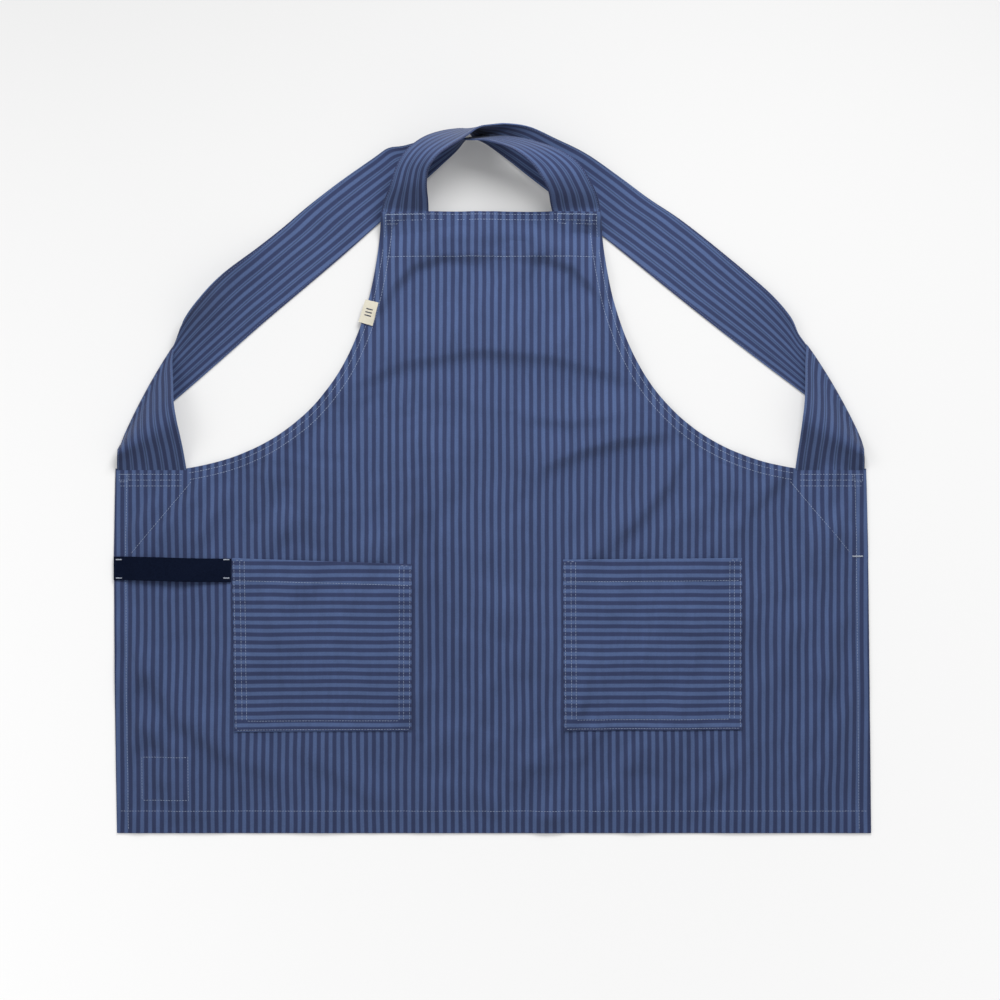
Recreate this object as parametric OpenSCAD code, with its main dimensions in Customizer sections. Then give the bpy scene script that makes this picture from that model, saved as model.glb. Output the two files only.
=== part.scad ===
// Crossback apron, laid flat with its front up. Millimetres.
// X runs across the apron, Y from the hem to the neck loop, Z up from the surface it lies on.
// The origin is on that surface, under the middle of the whole outline.

/* [Cloth] */
// Thickness of one layer of the apron cloth
cloth_t = 0.8; // [0.5:0.1:1.2]

/* [Body panel] */
// Width of the body panel, side hem to side hem
body_w = 914; // [760:2:1100]
// Length of the body panel from the hem to the top of the bib
body_l = 749; // [620:1:900]
// Height of the shoulder corners above the hem
shoulder_y = 441; // [365:1:530]
// Width of the bib along its top edge
bib_w = 264; // [220:2:320]
// Depth of the folded hem at the bottom
hem_l = 27; // [20:1:34]
// Width of the folded side hems
side_hem_w = 14.5; // [10:0.5:18]
// How far the armhole drops straight below the bib corner before it turns out
armhole_drop = 109; // [90:1:130]

/* [Facings and patches] */
// Depth of the facing behind the top of the bib
bib_facing_l = 53; // [40:1:64]
// Width of the facings behind the armholes
armhole_facing_w = 18; // [14:1:22]
// Height of the patches behind the shoulder corners
corner_patch_l = 106; // [85:1:125]
// Width of the label patch behind the lower left corner
label_patch_w = 57; // [45:1:68]
// Height of the label patch
label_patch_l = 51; // [40:1:62]

/* [Pockets] */
// Width of each pocket
pocket_w = 218; // [180:1:240]
// Height of each pocket
pocket_l = 208; // [170:1:250]
// Height of the pockets' lower edge above the hem
pocket_y = 125; // [104:1:150]
// Clear distance between the two pockets
pocket_gap = 182; // [150:2:200]
// Distance from the middle of the apron to the middle of the gap, to the left
pocket_shift = 4; // [0:1:8]
// Room inside a pocket, between its cloth and the body panel
pocket_room = 5.4; // [4.6:0.1:8]

/* [Towel loop] */
// Length of the webbing across the left edge
loop_l = 142; // [115:1:170]
// Width of the webbing
loop_w = 28; // [22:1:34]
// Thickness of the webbing
loop_t = 1.6; // [1:0.1:2]
// Height of its lower edge above the hem
loop_y = 305; // [255:1:340]
// Room between the bowed webbing and the panel
loop_room = 5.5; // [5:0.1:9]

/* [Edge label] */
// Length of the label along the armhole edge
label_l = 28; // [22:1:34]
// Width of its front leaf
label_w = 14.5; // [12:0.5:17]

/* [Straps] */
// Width of a strap where it is sewn to the bib
strap_bib_w = 58; // [48:1:64]
// Width of a strap where it is sewn to a shoulder corner
strap_end_w = 85; // [70:1:100]
// How far the neck loop reaches past the top of the bib
neck_rise = 110; // [92:1:132]
// Height of the folds at the sides above the shoulder corners
side_fold_l = 145; // [120:1:175]

/* [Hidden] */
e = 0.01;
strap_t = 2 * cloth_t;
step_w = 1;
arm_steps = 20;
neck_steps = 2;
leaf_gap = 5;
total_l = body_l + neck_rise;
half_w = body_w / 2;
half_bib = bib_w / 2;
panel_top = 2 * cloth_t;
left_pocket_x = -pocket_shift - pocket_gap / 2 - pocket_w;
right_pocket_x = -pocket_shift + pocket_gap / 2;
shoulder_x = half_w - strap_end_w;
denim = [0.27, 0.33, 0.48];
navy = [0.06, 0.08, 0.15];
cream = [0.78, 0.76, 0.68];

// ---- Curves -------------------------------------------------------------------------------

function unit(v) = v / norm(v);
function mixed(a, b, t) = a * (1 - t) + b * t;
function bezier(p, t) = pow(1 - t, 3) * p[0] + 3 * pow(1 - t, 2) * t * p[1]
                      + 3 * (1 - t) * t * t * p[2] + pow(t, 3) * p[3];
function bezier_dir(p, t) = unit(pow(1 - t, 2) * (p[1] - p[0]) + 2 * (1 - t) * t * (p[2] - p[1])
                               + t * t * (p[3] - p[2]));

// Right armhole, from the bib corner down and out to the shoulder corner
armhole_curve = [[half_bib, body_l], [half_bib + 8, body_l - armhole_drop],
                 [half_bib + 38, shoulder_y + 29], [shoulder_x, shoulder_y]];

// The armhole edge moved into the panel by a distance
function armhole(inset) = [for (i = [0:arm_steps])
    let (t = i / arm_steps, d = bezier_dir(armhole_curve, t))
    bezier(armhole_curve, t) + inset * [d[1], -d[0]]];

function flipped(points) = [for (p = points) [-p[0], p[1]]];
function backwards(points) = [for (i = [len(points) - 1:-1:0]) points[i]];

// Outline of the panel with its hem, sides and armholes moved in
function panel_outline(hem, side, arm) = concat(
    [[half_w - side, hem], [half_w - side, shoulder_y - arm]],
    backwards(armhole(arm)), flipped(armhole(arm)),
    [[side - half_w, shoulder_y - arm], [side - half_w, hem]]);

// ---- Helpers ------------------------------------------------------------------------------

// Everything is drawn from the hem up, then centred on the origin
module placed() translate([0, -total_l / 2, 0]) children();

module slab(points, z, h) translate([0, 0, z]) linear_extrude(height = h) polygon(points);

module mirrored_if(flip) {
    if (flip) mirror([1, 0, 0]) children();
    else children();
}

// ---- Hidden pieces under the panel --------------------------------------------------------

module bib_facing_shape(h) intersection() {
    slab(panel_outline(0, 0, 0), 0, h);
    translate([-half_w, body_l - bib_facing_l, -1]) cube([body_w, bib_facing_l + 1, h + 2]);
}

module armhole_facing_shape(h) difference() {
    slab(concat(armhole(0), backwards(armhole(armhole_facing_w))), 0, h);
    translate([0, body_l - bib_facing_l, -1]) cube([half_w, bib_facing_l + 1, h + 2]);
}

// Trapezium that fills a shoulder corner inside the side hem
module corner_patch_shape(grow, h) {
    inner = shoulder_x - grow;
    outer = half_w - side_hem_w;
    drop = shoulder_y - corner_patch_l - grow;
    slab([[inner, shoulder_y], [inner, drop + 78], [outer, drop], [outer, shoulder_y]], 0, h);
}

module label_patch_shape(grow, h)
    translate([-half_w + 32 - grow, hem_l + 13 - grow, 0])
        cube([label_patch_w + 2 * grow, label_patch_l + 2 * grow, h]);

// ---- Panel --------------------------------------------------------------------------------

// The hems are folds of the panel, so they are twice as thick.
// The middle of the panel lies on the surface, and steps up over the facings and patches.
module body_panel() color(denim) placed() difference() {
    slab(panel_outline(0, 0, 0), 0, panel_top);
    difference() {
        slab(panel_outline(hem_l, side_hem_w, armhole_facing_w + step_w), cloth_t, cloth_t + 1);
        translate([-half_w, body_l - bib_facing_l - step_w, 0])
            cube([body_w, bib_facing_l + 2, 4 * cloth_t + 2]);
        for (side = [0, 1]) mirror([side, 0, 0]) corner_patch_shape(step_w, 4 * cloth_t + 2);
        label_patch_shape(step_w, 4 * cloth_t + 2);
    }
    translate([0, 0, -1]) {
        bib_facing_shape(cloth_t + 1);
        for (side = [0, 1]) mirror([side, 0, 0]) {
            armhole_facing_shape(cloth_t + 1);
            corner_patch_shape(0, cloth_t + 1);
        }
        label_patch_shape(0, cloth_t + 1);
    }
}

module bib_facing() color(denim) placed() bib_facing_shape(cloth_t);
module left_armhole_facing() color(denim) placed() difference() {
    mirror([1, 0, 0]) armhole_facing_shape(cloth_t);
    label_place() label_leaf(-1, cloth_t / 2 + 1);
}
module right_armhole_facing() color(denim) placed() armhole_facing_shape(cloth_t);
module left_corner_patch() color(denim) placed() mirror([1, 0, 0]) corner_patch_shape(0, cloth_t);
module right_corner_patch() color(denim) placed() corner_patch_shape(0, cloth_t);
module label_patch() color(cream) placed() label_patch_shape(0, cloth_t);

// ---- Pockets ------------------------------------------------------------------------------

// Cloth sewn down along three sides and bowed up in the middle, open at the top
module pocket(x) color(denim) placed() translate([x, pocket_y, cloth_t]) difference() {
    seam = 10;
    slope = 12;
    hull() {
        cube([pocket_w, pocket_l, cloth_t]);
        translate([slope, slope, pocket_room])
            cube([pocket_w - 2 * slope, pocket_l - slope, cloth_t]);
    }
    hull() {
        translate([seam, seam, -1]) cube([pocket_w - 2 * seam, pocket_l, 1 + e]);
        translate([slope, slope, -1])
            cube([pocket_w - 2 * slope, pocket_l, 1 + pocket_room]);
    }
}
module left_pocket() pocket(left_pocket_x);
module right_pocket() pocket(right_pocket_x);

// ---- Towel loop ---------------------------------------------------------------------------

// Webbing that lies on the left hem at one end and on the panel at the other
loop_end = 15;
loop_ramp = 8;
module towel_loop() color(navy) placed()
    translate([-half_w, loop_y + loop_w, 0]) rotate([90, 0, 0]) linear_extrude(height = loop_w)
        polygon(concat(loop_profile(0), backwards(loop_profile(loop_t))));

function loop_profile(up) = [
    [0, panel_top + up], [loop_end, panel_top + up],
    [loop_end + loop_ramp, cloth_t + loop_room + up],
    [loop_l - loop_end - loop_ramp, cloth_t + loop_room + up],
    [loop_l - loop_end, cloth_t + up], [loop_l, cloth_t + up]];

// Bar tacks: a dense bar of thread at each corner of the webbing
tack_l = 7.5;
tack_w = 2;
tack_t = 0.5;
module towel_loop_tacks() color(navy) placed()
    for (y = [loop_y + 2.5, loop_y + loop_w - 2.5 - tack_w]) {
        translate([-half_w + 2, y, panel_top + loop_t]) cube([tack_l, tack_w, tack_t]);
        translate([-half_w + loop_l - 2 - tack_l, y, cloth_t + loop_t])
            cube([tack_l, tack_w, tack_t]);
    }

// Bar tacks at the lower outer ends of the corner patches
module corner_tacks() color("white") placed() for (side = [-1, 1])
    translate([side * (half_w - 12) - 6, shoulder_y - corner_patch_l, panel_top])
        cube([12, tack_w, tack_t]);

// ---- Edge label ---------------------------------------------------------------------------

label_at = 0.32;
label_t = cloth_t / 2;
label_slack = 0.5;
// How far the curved edge stands out past the label's straight turn
label_bulge = let (p = bezier(armhole_curve, label_at), d = bezier_dir(armhole_curve, label_at))
    max([for (i = [0:60]) let (v = bezier(armhole_curve, i / 60) - p)
         if (abs(v * d) < label_l / 2 + 1) v * [-d[1], d[0]]]);
// Puts its child on the left armhole edge, with X into the panel and Y along the edge
module label_place() {
    p = bezier(armhole_curve, label_at);
    d = bezier_dir(armhole_curve, label_at);
    translate([-p[0], p[1], 0]) rotate(atan2(-d[0], -d[1]))
        translate([-label_slack - label_bulge, -label_l / 2, 0]) children();
}
module label_leaf(z, h) translate([-label_t, 0, z]) cube([label_w - 3, label_l, h]);
module edge_label() color(cream) placed() label_place() {
    translate([-label_t, 0, panel_top]) cube([label_w, label_l, label_t]);
    translate([-label_t, 0, 0]) cube([label_t, label_l, panel_top + label_t]);
    label_leaf(0, cloth_t / 2);
}

// ---- Straps -------------------------------------------------------------------------------

// A station across a strap is [outer edge, neck edge]: the middle of the cloth at both edges.

// Points between stations, on a smooth curve through all of them
function smooth(a, b, c, d, t) = 0.5 * (2 * b + (c - a) * t + (2 * a - 5 * b + 4 * c - d) * t * t
                                      + (3 * b - a - 3 * c + d) * t * t * t);
function smoothed(s, n) = concat([for (i = [0:len(s) - 2], k = [0:n - 1])
    smooth(s[max(i - 1, 0)], s[i], s[i + 1], s[min(i + 2, len(s) - 1)], k / n)],
    [s[len(s) - 1]]);

// The cloth's normal at one edge of a station. Both ends of a strap stay flat.
function cloth_normal(s, i, edge) = let (last = len(s) - 1, a = s[max(i - 1, 0)],
        b = s[min(i + 1, last)], n = unit(cross(s[i][1] - s[i][0], b[edge] - a[edge])))
    i == 0 || i == last ? [0, 0, sign(n[2])] : n;

// Four corners of the strap's section at each station
function strap_rings(s) = [for (i = [0:len(s) - 1])
    let (h = cloth_normal(s, i, 0) * strap_t / 2, k = cloth_normal(s, i, 1) * strap_t / 2)
    [s[i][0] - h, s[i][1] - k, s[i][1] + k, s[i][0] + h]];

module ribbon(s) {
    rings = strap_rings(s);
    n = len(rings);
    // Both faces are split along the same diagonal, so a twisted stretch keeps its thickness
    walls = [for (i = [0:n - 2], k = [0:3])
        let (a = 4 * i + k, b = 4 * i + (k + 1) % 4)
        each k == 2 ? [[a, b, b + 4], [a, b + 4, a + 4]] : [[a, b, a + 4], [b, b + 4, a + 4]]];
    last = 4 * (n - 1);
    polyhedron([for (r = rings) each r],
        concat(walls, [[0, 2, 1], [0, 3, 2]],
               [[last, last + 1, last + 2], [last, last + 2, last + 3]]));
}

// Round numbers, for a bib 264 wide and a loop that rises 110 above it
function neck_station(p) = let (u = half_bib / 132, v = neck_rise / 110)
    [[p[0] * u, body_l + p[1] * v, p[2]], [p[3] * u, body_l + p[4] * v, p[5]]];
low = strap_t / 2;

// Each station: outer edge x, y, z, then neck edge x, y, z
left_neck_route = [
    [-132, 0, low, -75, 0, low], [-129, 12, 2.5, -75, 12, 7], [-122, 33, 9, -76, 32, 28],
    [-112, 55, 20, -74, 52, 54], [-103, 74, 31, -68, 65, 70], [-91, 86, 34, -59, 76, 79],
    [-75, 95, 30, -46, 86, 82], [-52, 101, 16, -31, 95, 79], [-30, 104, 3, -14, 105, 71],
    [-20, 97, 1.6, 2, 107, 58], [-5, 86, 1.2, 20, 109, 46], [20, 66, low, 47, 105, 33],
    [45, 46, low, 78, 92, 21], [67, 32, low, 116, 71, 10], [100, 27, low, 156, 44, 3],
    [127, 18, low, 185, 22, 1.3], [134, 0, low, 212, 0, low]];
right_neck_route = [
    [132, 0, low, 74, 0, low], [130, 12, 3, 71, 12, 7], [127, 25, 7, 69, 24, 20],
    [119, 42, 13, 66, 38, 36], [109, 57, 19, 60, 50, 49], [95, 72, 26, 52, 61, 60],
    [79, 83, 32, 40, 71, 68], [62, 89, 35, 26, 78, 73], [41, 92, 36, 12, 83, 75],
    [19, 93, 33, -4, 87, 73], [0, 92, 22, -16, 89, 67], [-18, 91, 8, -28, 90, 60],
    [-30, 89, 3, -40, 91, 50], [-42, 76, 1.8, -58, 92, 36], [-60, 59, 1.2, -82, 89, 24],
    [-75, 45, 1, -104, 82, 16], [-100, 34, low, -145, 68, 6], [-127, 20, low, -190, 36, 2.2],
    [-134, 0, low, -232, 0, low]];

module left_strap_neck() color(denim) placed()
    ribbon(smoothed([for (p = left_neck_route) neck_station(p)], neck_steps));
module right_strap_neck() color(denim) placed()
    ribbon(smoothed([for (p = right_neck_route) neck_station(p)], neck_steps));

// From the fold line across the back, under the side fold, round it and down to the seam.
// Drawn for the right side; neck_x is where its neck edge crosses the fold line.
module back_strap(neck_x) {
    high = low + leaf_gap;
    mid = (low + high) / 2;
    fold_top = [shoulder_x + 12, shoulder_y + side_fold_l];
    fold_end = [half_w - 10, shoulder_y + 35];
    out = unit([fold_top[1] - fold_end[1], fold_end[0] - fold_top[0]]) * leaf_gap / 2;
    fold_mid = mixed(fold_top, fold_end, 0);
    start = [[half_bib + 2, body_l], [neck_x * half_bib / 132, body_l]];
    bib_side = [half_bib + 15, body_l - 37];
    neck_side = mixed(start[1], fold_top, 0.5) + [9, 9];
    function at(p, z) = [p[0], p[1], z];
    ribbon([
        [at(start[0], low), at(start[1], low)],
        [at(bib_side, low), at(mixed(start[1], neck_side, 0.5), low)],
        [at(mixed(bib_side, fold_end, 0.45), low), at(neck_side, low)],
        [at(fold_end, low), at(fold_mid, low)],
        [at(fold_end + out * 0.7, low + 0.7), at(fold_mid + out * 0.7, low + 0.7)],
        [at(fold_end + out, mid), at(fold_mid + out, mid)],
        [at(fold_end + out * 0.7, high - 0.7), at(fold_mid + out * 0.7, high - 0.7)],
        [at(fold_end, high), at(fold_mid, high)],
        [at([half_w - 6, shoulder_y + 26], high), at([shoulder_x + 8, shoulder_y + 90], high)],
        [at([half_w - 3, shoulder_y + 14], mid), at([shoulder_x + 3, shoulder_y + 30], mid)],
        [at([half_w - 1, shoulder_y], low), at([shoulder_x, shoulder_y], low)]]);
}
module left_strap_back() color(denim) placed() back_strap(212);
module right_strap_back() color(denim) placed() mirror([1, 0, 0]) back_strap(232);

// ---- What is drawn ------------------------------------------------------------------------

body_panel();
bib_facing();
left_armhole_facing();
right_armhole_facing();
left_corner_patch();
right_corner_patch();
label_patch();
left_pocket();
right_pocket();
towel_loop();
towel_loop_tacks();
corner_tacks();
edge_label();
left_strap_neck();
left_strap_back();
right_strap_neck();
right_strap_back();
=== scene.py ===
# %% [markdown]
# # A crossback apron, laid flat
# This lesson makes the looks of a striped denim apron around a finished model of its parts.
# The model gives every piece its place, and says how the neck loop lifts. Here each piece of
# cloth becomes a thin sheet with folds, turned edges, woven stripes and sewing thread.
# All lengths in the lesson are written in millimetres, and turned into metres by one number.

# %% Load the frame
import math

import bpy
import numpy as np
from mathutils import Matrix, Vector
from mathutils.bvhtree import BVHTree


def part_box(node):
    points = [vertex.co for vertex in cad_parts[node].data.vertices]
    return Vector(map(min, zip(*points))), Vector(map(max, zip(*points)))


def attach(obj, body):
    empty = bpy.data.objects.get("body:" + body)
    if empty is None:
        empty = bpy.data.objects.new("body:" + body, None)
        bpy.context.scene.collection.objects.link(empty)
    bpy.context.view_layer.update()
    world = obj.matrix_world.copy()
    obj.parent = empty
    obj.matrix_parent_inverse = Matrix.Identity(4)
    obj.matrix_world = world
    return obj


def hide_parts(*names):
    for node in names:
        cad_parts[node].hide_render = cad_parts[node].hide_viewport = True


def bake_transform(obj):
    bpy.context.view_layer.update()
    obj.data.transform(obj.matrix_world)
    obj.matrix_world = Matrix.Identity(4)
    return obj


MM = 0.001
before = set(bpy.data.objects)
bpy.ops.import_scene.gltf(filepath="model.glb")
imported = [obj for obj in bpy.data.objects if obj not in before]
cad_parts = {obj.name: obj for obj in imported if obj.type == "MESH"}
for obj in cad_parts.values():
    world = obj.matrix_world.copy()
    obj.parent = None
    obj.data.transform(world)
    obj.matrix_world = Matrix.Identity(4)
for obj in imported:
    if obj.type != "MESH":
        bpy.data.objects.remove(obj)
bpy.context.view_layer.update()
panel_low, panel_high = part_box("body_panel")
HEM_Y = panel_low.y / MM
HALF_W = panel_high.x / MM
BODY_L = (panel_high.y - panel_low.y) / MM
HALF_BIB = 132.0
SHOULDER_X = 372.0
SHOULDER_Y = 441.0
CLOTH = 0.8
SIDE_NAMES = {-1: "left", 1: "right"}
print(f"body panel {2 * HALF_W:.0f} x {BODY_L:.0f} mm, hem at y {HEM_Y:.1f} mm")

# %% [markdown]
# ## Floor, light and camera
# The apron lies on a plain pale floor and is seen from straight above. A real studio would hang
# a wide soft lamp up on the left, a smaller one beyond the neck end, and let the white room fill
# the shadows. Two area lamps and a bright, even world do the same with little noise. The lamps
# are nearer to one corner, so the paper is toned against their light, and glows very faintly where
# they don't reach, to stay evenly white. The helpers that build materials come first.

# %% Node helpers
def new_group(name, inputs, outputs):
    group = bpy.data.node_groups.new(name, "ShaderNodeTree")
    for label, kind, value in inputs:
        socket = group.interface.new_socket(name=label, in_out="INPUT", socket_type=kind)
        if value is not None:
            socket.default_value = value
    for label, kind in outputs:
        group.interface.new_socket(name=label, in_out="OUTPUT", socket_type=kind)
    return group, group.nodes.new("NodeGroupInput"), group.nodes.new("NodeGroupOutput")


def node(tree, kind, settings=None, inputs=None):
    made = tree.nodes.new(kind)
    for key, value in (settings or {}).items():
        setattr(made, key, value)
    for key, value in (inputs or {}).items():
        if isinstance(value, bpy.types.NodeSocket):
            tree.links.new(value, made.inputs[key])
        else:
            made.inputs[key].default_value = value
    return made


def maths(tree, operation, a, b=0.0):
    return node(tree, "ShaderNodeMath", {"operation": operation}, {0: a, 1: b}).outputs[0]


def times(tree, a, b):
    return maths(tree, "MULTIPLY", a, b)


def plus(tree, a, b):
    return maths(tree, "ADD", a, b)


def minus(tree, a, b):
    return maths(tree, "SUBTRACT", a, b)


def axes_of(tree, vector):
    return node(tree, "ShaderNodeSeparateXYZ", None, {"Vector": vector}).outputs


def ramp(tree, value, low, high, to_low=0.0, to_high=1.0, smooth=False):
    """Moves a value from the range low to high into the range to_low to to_high."""
    kind = {"interpolation_type": "SMOOTHSTEP"} if smooth else None
    made = node(tree, "ShaderNodeMapRange", kind,
                {"Value": value, "From Min": low, "From Max": high,
                 "To Min": to_low, "To Max": to_high})
    return made.outputs["Result"]


def noise(tree, vector, scale, detail, **more):
    made = node(tree, "ShaderNodeTexNoise", {"noise_dimensions": "3D"},
                {"Vector": vector, "Scale": scale, "Detail": detail, **more})
    return made.outputs["Fac"]


def blend_colours(tree, factor, first, second):
    made = node(tree, "ShaderNodeMix", {"data_type": "RGBA"},
                {"Factor": factor, "A": first, "B": second})
    return made.outputs["Result"]


def new_material(name, colour=(0.8, 0.8, 0.8), roughness=0.5):
    """A new material with its node tree, its shader, and the place on the piece."""
    material = bpy.data.materials.new(name)
    material.use_nodes = True
    tree = material.node_tree
    shader = tree.nodes["Principled BSDF"]
    shader.inputs["Base Color"].default_value = (*colour, 1)
    shader.inputs["Roughness"].default_value = roughness
    return material, tree, shader, node(tree, "ShaderNodeTexCoord").outputs["Object"]


def bump(tree, height, strength, distance):
    made = node(tree, "ShaderNodeBump", None,
                {"Height": height, "Strength": strength, "Distance": distance})
    tree.links.new(made.outputs["Normal"], tree.nodes["Principled BSDF"].inputs["Normal"])


print("node helpers are ready")

# %% Paper of the floor
# DIM is the fall of the lamps' light over the floor, as a curve in metres from the middle
WHITE, PAPER_MOST, GLOW = 0.93, 0.78, 0.10
DIM_MIDDLE, DIM_ACROSS, DIM_ALONG = 0.83, -0.05, -0.5
DIM_BEND_ACROSS, DIM_BEND_ALONG = 0.299, 0.041
DIM_LEAST, DIM_MOST = 0.4, 1.4
FADE_FROM, FADE_TO = 0.9, 2.6
FAR_TONE, FAR_GLOW = 0.8, 0.42


def paper_material():
    material, tree, shader, where = new_material("studio_white", (0.9, 0.9, 0.9), 0.9)
    axes = axes_of(tree, where)
    dim = DIM_MIDDLE
    for axis, slope, bend in (("X", DIM_ACROSS, DIM_BEND_ACROSS),
                              ("Y", DIM_ALONG, DIM_BEND_ALONG)):
        bent = plus(tree, times(tree, axes[axis], bend), slope)
        dim = plus(tree, times(tree, axes[axis], bent), dim)
    dim = maths(tree, "MINIMUM", maths(tree, "MAXIMUM", dim, DIM_LEAST), DIM_MOST)
    tone = maths(tree, "MINIMUM", times(tree, dim, WHITE - GLOW), PAPER_MOST)
    glow = minus(tree, WHITE, maths(tree, "DIVIDE", tone, dim))
    away = node(tree, "ShaderNodeVectorMath", {"operation": "LENGTH"}, {0: where})
    far = ramp(tree, away.outputs["Value"], FADE_FROM, FADE_TO, smooth=True)
    for socket, near_value, far_value in (("Base Color", tone, FAR_TONE),
                                          ("Emission Strength", glow, FAR_GLOW)):
        change = times(tree, far, minus(tree, far_value, near_value))
        tree.links.new(plus(tree, near_value, change), shader.inputs[socket])
    shader.inputs["Emission Color"].default_value = (1, 1, 1, 1)
    return material


# %% Floor
bpy.ops.object.select_all(action="DESELECT")
bpy.ops.mesh.primitive_plane_add(size=12, location=(0, 0, -0.0004))
floor = bpy.context.object
floor.name = "studio_floor"
floor.data.materials.append(paper_material())
print("floor", [round(side, 1) for side in floor.dimensions[:2]], "m")

# %% Lamps and world
FILL = 0.53
KEY_PLACE, KEY_SIZE, KEY_POWER = (-2.0, 1.0, 2.0), 1.4, 14
FAR_PLACE, FAR_SIZE, FAR_POWER = (0.2, 1.05, 1.1), 0.7, 20.5


def area_lamp(name, place, size, power):
    lamp = bpy.data.lights.new(name, "AREA")
    lamp.size = size
    lamp.energy = power
    holder = bpy.data.objects.new(name, lamp)
    bpy.context.scene.collection.objects.link(holder)
    holder.location = place
    holder.rotation_euler = (-Vector(place)).to_track_quat("-Z", "Y").to_euler()
    print(f"{name}: {power:.0f} W, {Vector(place).length:.1f} m away")


area_lamp("key_lamp", KEY_PLACE, KEY_SIZE, KEY_POWER)
area_lamp("far_lamp", FAR_PLACE, FAR_SIZE, FAR_POWER)
world = bpy.data.worlds.new("white_room")
world.use_nodes = True
world.node_tree.nodes["Background"].inputs["Color"].default_value = (1, 1, 1, 1)
world.node_tree.nodes["Background"].inputs["Strength"].default_value = FILL
bpy.context.scene.world = world
bpy.context.scene.view_settings.view_transform = "Standard"

# %% Camera straight above
VIEW_W = 1.21
VIEW_X, VIEW_Y = 10.9, 403.0
LENS = 85.0
SENSOR = 36.0
camera_data = bpy.data.cameras.new("camera")
camera_data.lens = LENS
camera_data.sensor_width = SENSOR
camera = bpy.data.objects.new("camera", camera_data)
bpy.context.scene.collection.objects.link(camera)
camera.location = (VIEW_X * MM, (HEM_Y + VIEW_Y) * MM, VIEW_W * LENS / SENSOR)
bpy.context.scene.camera = camera
print(f"camera {camera.location.z:.2f} m above the floor")

# %% [markdown]
# ## Striped denim
# The cloth is yarn-dyed: bands of pale and dark warp threads, about 9.5 mm to a pair, crossed by
# one weft. So the stripe is a colour of the weave and not a print, its edge is a little soft, and
# fine diagonal twill lines run over both colours. The bands could be painted on a picture, but a
# formula on the cloth's own coordinates stays sharp at any distance and follows every fold.
# One group gives the stripe mask, and another the twill, so each cloth piece can use both.

# %% Stripe group
STRIPE = 9.51 * MM
STRAY = 3.2 * MM
PALE_END, DARK_END = -0.52, 0.4
group, given, result = new_group(
    "woven_stripe",
    [("Across", "NodeSocketFloat", 0.0), ("Wander", "NodeSocketVector", None)],
    [("Dark", "NodeSocketFloat")],
)
drift = noise(group, given.outputs["Wander"], 9.0, 2.0)
moved = times(group, minus(group, drift, 0.5), STRAY)
place = plus(group, given.outputs["Across"], moved)
wave = maths(group, "COSINE", times(group, place, 2 * math.pi / STRIPE))
band = ramp(group, wave, PALE_END, DARK_END, smooth=True)
group.links.new(band, result.inputs["Dark"])
stripe_group = group
print(f"one pair of stripes every {STRIPE / MM:.2f} mm")

# %% Twill group
group, given, result = new_group(
    "twill_weave",
    [("Vector", "NodeSocketVector", None), ("Pitch", "NodeSocketFloat", 0.0011)],
    [("Fleck", "NodeSocketFloat"), ("Height", "NodeSocketFloat")],
)
parts = axes_of(group, given.outputs["Vector"])
lean = plus(group, parts["X"], parts["Y"])
turn = maths(group, "DIVIDE", lean, given.outputs["Pitch"])
ridges = maths(group, "SINE", times(group, turn, 2 * math.pi))
yarn = noise(group, given.outputs["Vector"], 620.0, 2.0)
slub = node(group, "ShaderNodeMapping", {"vector_type": "POINT"},
            {"Vector": given.outputs["Vector"], "Scale": (160.0, 26.0, 26.0)})
slubs = noise(group, slub.outputs["Vector"], 1.0, 1.0)
fleck = plus(group, times(group, yarn, 0.6), times(group, slubs, 0.4))
group.links.new(fleck, result.inputs["Fleck"])
height = plus(group, times(group, ridges, 0.35), yarn)
group.links.new(height, result.inputs["Height"])
twill_group = group
print("twill group has", len(group.nodes), "nodes")

# %% Denim material
PALE = (0.061, 0.097, 0.212, 1)
DARK = (0.0245, 0.036, 0.096, 1)
WEAR, WORN_SHADES, ROUGH = (0.2, 0.58), (0.8, 1.2), (0.78, 0.95)
QUILT_SHADE = 0.55
BODY_SHIFT, POCKET_SHIFT = 1.2, 288.3


def group_node(tree, group, inputs):
    return node(tree, "ShaderNodeGroup", {"node_tree": group}, inputs)


def denim(name, along, shift=0.0, use_uv=False, shade=1.0, quilted=False):
    """Striped cloth. along names the axis that the stripes are counted across. Where quilted is
    true, rows of dark topstitching press thin lines into the pale stripes."""
    material, tree, shader, where = new_material(name)
    if use_uv:
        where = where.node.outputs["UV"]
    axes = axes_of(tree, where)
    across = minus(tree, axes[along], shift)
    stripe = group_node(tree, stripe_group, {"Across": across, "Wander": where})
    twill = group_node(tree, twill_group, {"Vector": where})
    cloud = noise(tree, where, 14.0, 4.0, Roughness=0.6)
    mixed = blend_colours(tree, stripe.outputs["Dark"], PALE, DARK)
    worn = plus(tree, times(tree, twill.outputs["Fleck"], 0.55), times(tree, cloud, 0.22))
    tone = ramp(tree, worn, *WEAR, *(shade * level for level in WORN_SHADES))
    if quilted:
        offset = plus(tree, across, 0.5 * STRIPE)
        beside = maths(tree, "PINGPONG", offset, STRIPE)
        line = ramp(tree, beside, 0.2 * MM, 1.0 * MM, QUILT_SHADE, 1.0, smooth=True)
        tone = times(tree, tone, line)
    toned = node(tree, "ShaderNodeVectorMath", {"operation": "SCALE"},
                 {"Vector": mixed, "Scale": tone})
    tree.links.new(toned.outputs["Vector"], shader.inputs["Base Color"])
    rough = ramp(tree, twill.outputs["Fleck"], 0.0, 1.0, *ROUGH)
    tree.links.new(rough, shader.inputs["Roughness"])
    bump(tree, twill.outputs["Height"], 0.35, 0.4 * MM)
    shader.inputs["Sheen Weight"].default_value = 0.12
    shader.inputs["Sheen Roughness"].default_value = 0.5
    shader.inputs["Specular IOR Level"].default_value = 0.25
    return material


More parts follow.
